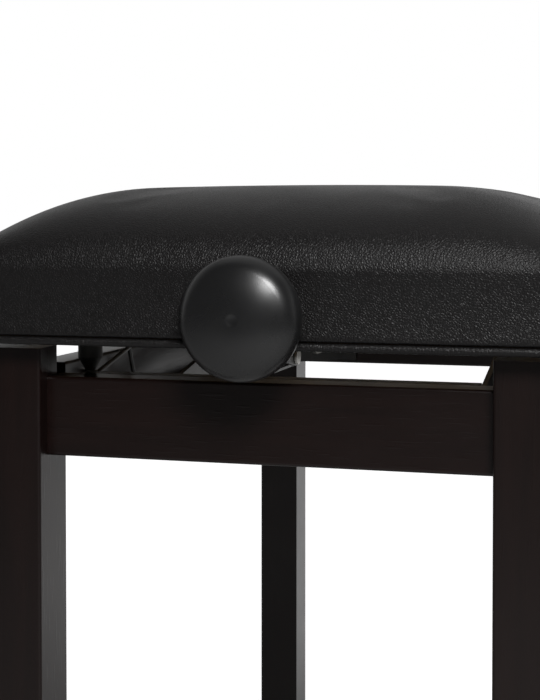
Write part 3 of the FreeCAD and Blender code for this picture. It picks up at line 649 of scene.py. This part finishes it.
class BENCH_OT_piping(bpy.types.Operator):
    """Make the piping, the turned-under hem and its staples"""
    bl_idname = "bench.piping"
    bl_label = "Piping and hem"

    def execute(self, context):
        leather = bpy.data.materials["black_leatherette"]
        self.piping(leather)
        self.hem(context.scene.bench_seat, leather)
        return {"FINISHED"}

    def piping(self, leather):
        """A cord in a leather sleeve: a slightly uneven circle carried round the seat.

        At a place s round the loop and a turn t, the point is
        loop(s) + r(s) cos(t) outward(s) on plan, and middle + r(s) sin(t) in height.
        """
        radius = (PIPING_HIGH[2] - PIPING_LOW[2]) / 2
        loop, outward = rounded_loop(PIPING_HIGH[0] - radius, PIPING_HIGH[1] - radius, 0.009, 0.004)
        turn = np.linspace(0, 2 * math.pi, 16, endpoint=False)
        walk = np.arange(len(loop)) / len(loop) * 2 * math.pi
        uneven = 1 + 0.015 * np.sin(walk * 97) + 0.012 * np.sin(walk * 41 + 1)
        reach = radius * uneven[:, None] * 0.985
        flat = loop[:, None, :] + outward[:, None, :] * (reach * np.cos(turn))[..., None]
        height = (PIPING_HIGH[2] + PIPING_LOW[2]) / 2 + reach * np.sin(turn)
        points = np.concatenate([flat, height[..., None]], -1)
        faces = lattice_faces(len(loop), len(turn), wrap_rows=True, wrap_columns=True)
        piece = new_piece("piping", points, faces, leather, "seat")
        weld(piece)
        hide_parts("seat_piping")

    def hem(self, seat, leather):
        """The cover's margin, flat under the boards, and a row of staples through it."""
        edge = BOARD_HIGH[:2] + 0.0006
        outer, _ = rounded_loop(edge[0], edge[1], 0.006, 0.02)
        inner = outer * (1 - seat.hem / edge)
        thickness, drop = 0.0012, 0.0037
        under = COVER_LOW[2] - drop
        sheet = []
        for ring, level in ((outer, under + thickness), (outer, under), (inner, under),
                            (inner, under + thickness)):
            sheet.append(np.concatenate([ring, np.full((len(ring), 1), level)], -1))
        points = np.stack(sheet)
        faces = lattice_faces(4, len(outer), wrap_rows=True, wrap_columns=True)
        piece = new_piece("hem", points, faces, leather, "seat", smooth=False)
        weld(piece)
        self.staples(edge - seat.hem / 2, under)

    def staples(self, half, under):
        """Staple crowns as small half-round bars, in a row along each side of the hem."""
        margin, pitch, wire = 0.02, 0.034, 0.00035
        along_x = np.arange(-half[0] + margin, half[0] - margin, pitch)
        along_y = np.arange(-half[1] + margin, half[1] - margin, pitch)
        spots = [np.stack([along_x, np.full_like(along_x, side * half[1])], -1) for side in (-1, 1)]
        spots += [np.stack([np.full_like(along_y, side * half[0]), along_y], -1)
                  for side in (-1, 1)]
        spots = np.concatenate(spots)
        tilt = np.sin(np.arange(len(spots)) * 2.4) * 0.25
        tilt[2 * len(along_x):] += math.pi / 2
        stretch = np.array([-1, -0.9, 0.9, 1]) * 0.005
        drop = np.array([0, 1, 1, 0]) * 0.0005
        round_way = np.linspace(0, 2 * math.pi, 6, endpoint=False)
        bar_x = stretch[:, None] + 0 * round_way
        bar_y = wire * np.cos(round_way) + 0 * stretch[:, None]
        bar_z = wire * np.sin(round_way) - drop[:, None]
        turned_x = bar_x * np.cos(tilt)[:, None, None] - bar_y * np.sin(tilt)[:, None, None]
        turned_y = bar_x * np.sin(tilt)[:, None, None] + bar_y * np.cos(tilt)[:, None, None]
        points = np.stack([spots[:, 0, None, None] + turned_x, spots[:, 1, None, None] + turned_y,
                           np.broadcast_to(under + 0.0002 + bar_z, turned_x.shape)], -1)
        one = lattice_faces(4, 6, wrap_columns=True)
        faces = (one[None] + 24 * np.arange(len(spots))[:, None, None]).reshape(-1, 4)
        piece = new_piece("staples", points, faces, bpy.data.materials["zinc_plate"], "seat")
        weld(piece, 1e-7)


# ------------------------------------------------------------------ the knobs and the spindle
def lathe(profile, end_sign, middle, count):
    """Turn a profile of (along, radius) about a line parallel to X through the middle.

    The point is (x0 +- along, y0 + radius cos(t), z0 + radius sin(t)).
    """
    angle = np.linspace(0, 2 * math.pi, count, endpoint=False)
    x = middle[0] + end_sign * profile[:, 0, None] + 0 * angle
    y = middle[1] + profile[:, 1, None] * np.cos(angle)
    z = middle[2] + profile[:, 1, None] * np.sin(angle)
    return np.stack([x, y, z], -1), lattice_faces(len(profile), count, wrap_columns=True)


def bezier(start, first, second, end, count):
    """Points of a cubic curve from start to end, pulled towards its two handles."""
    t = np.linspace(0, 1, count)[:, None]
    start, first, second, end = map(np.array, (start, first, second, end))
    return ((1 - t) ** 3 * start + 3 * (1 - t) ** 2 * t * first
            + 3 * (1 - t) * t * t * second + t ** 3 * end)


def knob_profile(depth, radius):
    """From the back's middle to the front's: flat back, small lip, flared side, domed face, dimple."""
    lip = 0.0014
    back = radius - 0.0038
    return np.concatenate([
        [(0.0006, 0.0), (0.0006, 0.0088), (0.0, 0.0092), (0.0, back - lip)],
        arc((lip, back - lip), lip, 180, 105, 8),
        bezier((lip * 1.1, back + 0.0001), (0.005, back + 0.0012), (0.0065, radius), (0.0098, radius), 14),
        bezier((0.0102, radius), (0.0142, radius), (0.0178, radius - 0.0022), (0.0200, radius - 0.0065),
               18),
        bezier((0.0203, radius - 0.0072), (0.0222, radius - 0.0115), (depth, 0.012), (depth, 0.0036),
               20),
        bezier((depth, 0.0032), (depth - 0.0001, 0.0022), (depth - 0.0004, 0.0016),
               (depth - 0.0004, 0.0), 8),
    ])


class BENCH_OT_knobs(bpy.types.Operator):
    """Make the two turned knobs in place of the plain ones"""
    bl_idname = "bench.knobs"
    bl_label = "Knobs"

    def execute(self, context):
        gloss = plastic_finish("knob_gloss", tuple(context.scene.bench_finish.knob), 0.26, 1500.0)
        for name, sign in (("left", -1), ("right", 1)):
            low, high = (np.array(corner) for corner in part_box(f"knob_{name}"))
            middle = (low + high) / 2
            middle[0] = low[0] if sign > 0 else high[0]
            profile = knob_profile(high[0] - low[0], (high[2] - low[2]) / 2)
            points, faces = lathe(profile, sign, middle, 160)
            piece = new_piece(f"{name}_knob", points, faces, gloss, "spindle")
            weld(piece, 1e-6)
            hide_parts(f"knob_{name}")
        return {"FINISHED"}


class BENCH_OT_spindle(bpy.types.Operator):
    """Cut the thread on the spindle"""
    bl_idname = "bench.spindle"
    bl_label = "Threaded spindle"

    # its radius is R - depth flank((x / pitch + t / 2 pi) mod 1), with flank a clipped triangle wave
    def execute(self, context):
        lift = context.scene.bench_lift
        radius = (SPINDLE_HIGH[2] - SPINDLE_LOW[2]) / 2
        middle = (SPINDLE_HIGH + SPINDLE_LOW) / 2
        end = SPINDLE_HIGH[0]
        thread_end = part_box("stop_collar_right")[0][0] - 0.004
        rows_per_turn, round_count = 7, 20
        threaded = np.linspace(-thread_end, thread_end,
                               int(2 * thread_end / lift.thread_pitch * rows_per_turn))
        along_x = np.concatenate([[-end, -end + 0.0006, -thread_end - 0.001], threaded,
                                  [thread_end + 0.001, end - 0.0006, end]])
        angle = np.linspace(0, 2 * math.pi, round_count, endpoint=False)
        phase = (along_x[:, None] / lift.thread_pitch + angle / (2 * math.pi)) % 1
        flank = np.clip(2.6 * (np.abs(phase - 0.5) * 2 - 0.5) + 0.5, 0, 1)
        cut = lift.thread_depth * flank * (np.abs(along_x) <= thread_end)[:, None]
        reach = np.full((len(along_x), 1), radius) - cut
        reach[[0, -1]] = 0.0
        reach[[1, -2]] = radius - 0.0004
        # a flat end: the first and last rings close on the axis, beside rings at the same place
        along_x[1], along_x[-2] = along_x[0], along_x[-1]
        points = np.stack([along_x[:, None] + 0 * angle, middle[1] + reach * np.cos(angle),
                           middle[2] + reach * np.sin(angle)], -1)
        faces = lattice_faces(len(along_x), round_count, wrap_columns=True)
        steel = metal_finish("spindle_steel", (0.42, 0.41, 0.39), 0.3, (900.0, 60.0, 60.0))
        piece = new_piece("threaded_spindle", points, faces, steel, "spindle")
        weld(piece)
        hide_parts("spindle_rod")
        return {"FINISHED"}


# ------------------------------------------------------------------ finishes of the CAD pieces
def dress(names, material):
    """Give CAD nodes a finish."""
    for name in names:
        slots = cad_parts[name].material_slots
        for slot in slots:
            slot.material = material


def named(*stems):
    """The CAD nodes whose names start with any of the stems."""
    return [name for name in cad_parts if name.startswith(stems)]


class BENCH_OT_wood(bpy.types.Operator):
    """Stain and lacquer the legs and rails, each with its figure along its length"""
    bl_idname = "bench.wood"
    bl_label = "Lacquered wood"

    def execute(self, context):
        dress(named("leg_"), lacquer_finish("lacquered_legs", (120.0, 120.0, 9.0)))
        dress(named("end_rail"), lacquer_finish("lacquered_end_rails", (120.0, 9.0, 120.0)))
        dress(named("side_rail"), lacquer_finish("lacquered_side_rails", (9.0, 120.0, 120.0)))
        dress(named("seat_board", "seat_end_board", "seat_side_board"), plywood_finish())
        dress(named("foot_glide"), plastic_finish("moulded_glide", (0.03, 0.03, 0.03), 0.5))
        return {"FINISHED"}


class BENCH_OT_steel(bpy.types.Operator):
    """Finish the lift's steel, brass and nylon"""
    bl_idname = "bench.steel"
    bl_label = "Lift metal"

    def execute(self, context):
        paint = painted_finish()
        dress(named("base_track_", "seat_track_", "outer_arm", "inner_arm", "corner_bracket",
                    "tie_bar", "traveller_bar", "guard_wires"), paint)
        dress(named("stop_buffers"), plastic_finish("moulded_rubber", (0.02, 0.02, 0.02), 0.6))
        zinc = metal_finish("zinc_plate", (0.50, 0.49, 0.46), 0.34, (400.0, 400.0, 90.0))
        dress(named("base_track_screws", "seat_track_screws", "hanger_", "centre_pins",
                    "base_pivot_pins", "seat_pivot_pins", "slide_rod", "stop_collar",
                    "set_screws"), zinc)
        dress(named("traveller_nut", "knob_insert"),
              metal_finish("turned_brass", (0.62, 0.42, 0.16), 0.28, (60.0, 500.0, 500.0)))
        dress(named("base_slide_bush", "seat_slide_bush", "spindle_bush"),
              plastic_finish("nylon", (0.62, 0.60, 0.54), 0.45))
        return {"FINISHED"}


# ------------------------------------------------------------------ the stage
def softbox(name, place, target, size, power):
    """A rectangular light that faces a point."""
    data = bpy.data.lights.new(name, "AREA")
    data.shape = "RECTANGLE"
    data.size, data.size_y = size
    data.energy = power
    lamp = bpy.data.objects.new(name, data)
    lamp.location = place
    aim = bpy.context.scene.cursor.location.copy()
    aim.x, aim.y, aim.z = (t - p for t, p in zip(target, place))
    lamp.rotation_euler = aim.to_track_quat("-Z", "Y").to_euler()
    bpy.context.scene.collection.objects.link(lamp)
    return lamp


def studio_sky():
    """A white sweep behind the bench, dimmer overhead and dark towards the camera's side."""
    world = bpy.data.worlds.new("studio")
    bpy.context.scene.world = world
    world.use_nodes = True
    tree = world.node_tree
    background = tree.nodes["Background"]
    direction = tree.nodes.new("ShaderNodeTexCoord")
    split = tree.nodes.new("ShaderNodeSeparateXYZ")
    tree.links.new(direction.outputs["Generated"], split.inputs["Vector"])
    side = tree.nodes.new("ShaderNodeMapRange")
    side.interpolation_type = "SMOOTHSTEP"
    tree.links.new(split.outputs["X"], side.inputs["Value"])
    for label, value in (("From Min", -0.35), ("From Max", 0.3), ("To Min", 1.0), ("To Max", 0.06)):
        side.inputs[label].default_value = value
    up = tree.nodes.new("ShaderNodeMapRange")
    up.interpolation_type = "SMOOTHSTEP"
    tree.links.new(split.outputs["Z"], up.inputs["Value"])
    for label, value in (("From Min", 0.1), ("From Max", 0.7), ("To Min", 1.0), ("To Max", 0.22)):
        up.inputs[label].default_value = value
    reflected = math_node(tree, "MULTIPLY", side.outputs["Result"], up.outputs["Result"])
    seen = tree.nodes.new("ShaderNodeLightPath")
    strength = math_node(tree, "MAXIMUM", reflected, seen.outputs["Is Camera Ray"])
    tree.links.new(strength, background.inputs["Strength"])
    background.inputs["Color"].default_value = (1, 1, 1, 1)


class BENCH_OT_stage(bpy.types.Operator):
    """Set up the floor, the light and the camera"""
    bl_idname = "bench.stage"
    bl_label = "Stage"

    def execute(self, context):
        studio = context.scene.bench_studio
        self.floor()
        studio_sky()
        middle = (CUSHION_HIGH[0], 0.0, COVER_HIGH[2])
        ahead, aside, above = 1.15, 0.55, 0.88
        softbox("key_light", (middle[0] + ahead, aside, middle[2] + above), middle, (0.5, 0.42),
                studio.key_power)
        softbox("top_light", (-0.3, 0.1, 2.2), (0, 0, 0.4), (2.4, 2.0), studio.top_power)
        self.camera(context, studio)
        context.scene.view_settings.view_transform = "Standard"
        return {"FINISHED"}

    def floor(self):
        """One large flat square, level with the glides' undersides."""
        size = 30.0
        points = np.array([(-size, -size, 0), (size, -size, 0), (size, size, 0), (-size, size, 0)])
        mesh = bpy.data.meshes.new("floor")
        mesh.from_pydata(points.tolist(), [], [(0, 1, 2, 3)])
        finish = Finish("pale_floor", (0.92, 0.92, 0.92), 0.7)
        cloud = finish.add("ShaderNodeTexNoise", scale=1.5, detail=2.0)
        finish.link(finish.place, cloud.inputs["Vector"])
        seen = finish.add("ShaderNodeLightPath")
        tone = math_node(finish.tree, "MULTIPLY_ADD", seen.outputs["Is Camera Ray"], 0.37)
        tone.node.inputs[2].default_value = 0.55
        finish.blend(cloud.outputs["Fac"], (0.98, 0.98, 0.98), (1.0, 1.0, 1.0), "Base Color")
        scale = finish.add("ShaderNodeVectorMath", operation="SCALE")
        finish.link(finish.shader.inputs["Base Color"].links[0].from_socket, scale.inputs[0])
        finish.link(tone, scale.inputs["Scale"])
        finish.link(scale.outputs["Vector"], finish.shader.inputs["Base Color"])
        finish.shader.inputs["Emission Color"].default_value = (1, 1, 1, 1)
        shown = math_node(finish.tree, "MULTIPLY", seen.outputs["Is Camera Ray"], 0.8)
        split = finish.add("ShaderNodeSeparateXYZ")
        finish.link(finish.place, split.inputs["Vector"])
        sweep = finish.add("ShaderNodeMapRange", interpolation_type="SMOOTHSTEP")
        finish.link(split.outputs["X"], sweep.inputs["Value"])
        for label, value in (("From Min", -0.7), ("From Max", 0.0), ("To Min", 0.75), ("To Max", 0.0)):
            sweep.inputs[label].default_value = value
        glow = math_node(finish.tree, "MAXIMUM", shown, sweep.outputs["Result"])
        finish.link(glow, finish.shader.inputs["Emission Strength"])
        mesh.materials.append(finish.material)
        floor = bpy.data.objects.new("floor", mesh)
        bpy.context.scene.collection.objects.link(floor)

    def camera(self, context, studio):
        """A nearly level view of the bench's end, from a little to its rear side."""
        data = bpy.data.cameras.new("view")
        data.sensor_width = 36
        data.lens = studio.focal_length
        data.shift_y = studio.shift
        data.clip_start = 0.01
        camera = bpy.data.objects.new("view", data)
        camera.location = studio.camera_place
        camera.rotation_euler = (math.pi / 2 - studio.camera_dip, 0, math.pi / 2 + studio.camera_turn)
        context.scene.collection.objects.link(camera)
        context.scene.camera = camera


class BENCH_PT_panel(bpy.types.Panel):
    """The bench's tools in the sidebar"""
    bl_idname = "BENCH_PT_panel"
    bl_label = "Piano bench"
    bl_space_type = "VIEW_3D"
    bl_region_type = "UI"
    bl_category = "Bench"

    def draw(self, context):
        for operator in OPERATORS:
            self.layout.operator(operator.bl_idname)
        for settings in ("bench_seat", "bench_lift", "bench_finish", "bench_studio"):
            group = getattr(context.scene, settings)
            for label in group.bl_rna.properties.keys():
                if label not in ("rna_type", "name"):
                    self.layout.prop(group, label)


GROUPS = {"bench_seat": BENCH_PG_seat, "bench_lift": BENCH_PG_lift,
          "bench_finish": BENCH_PG_finish, "bench_studio": BENCH_PG_studio}
OPERATORS = (BENCH_OT_wood, BENCH_OT_steel, BENCH_OT_seat, BENCH_OT_piping, BENCH_OT_knobs,
             BENCH_OT_spindle, BENCH_OT_stage)


def register():
    for label, group in GROUPS.items():
        bpy.utils.register_class(group)
        setattr(bpy.types.Scene, label, bpy.props.PointerProperty(type=group))
    for cls in (*OPERATORS, BENCH_PT_panel):
        bpy.utils.register_class(cls)


def unregister():
    for cls in (BENCH_PT_panel, *reversed(OPERATORS)):
        bpy.utils.unregister_class(cls)
    for label, group in GROUPS.items():
        delattr(bpy.types.Scene, label)
        bpy.utils.unregister_class(group)


def main():
    """Make every piece in order."""
    register()
    for operator in OPERATORS:
        family, action = operator.bl_idname.split(".")
        getattr(getattr(bpy.ops, family), action)()


if __name__ == "__main__":
    main()
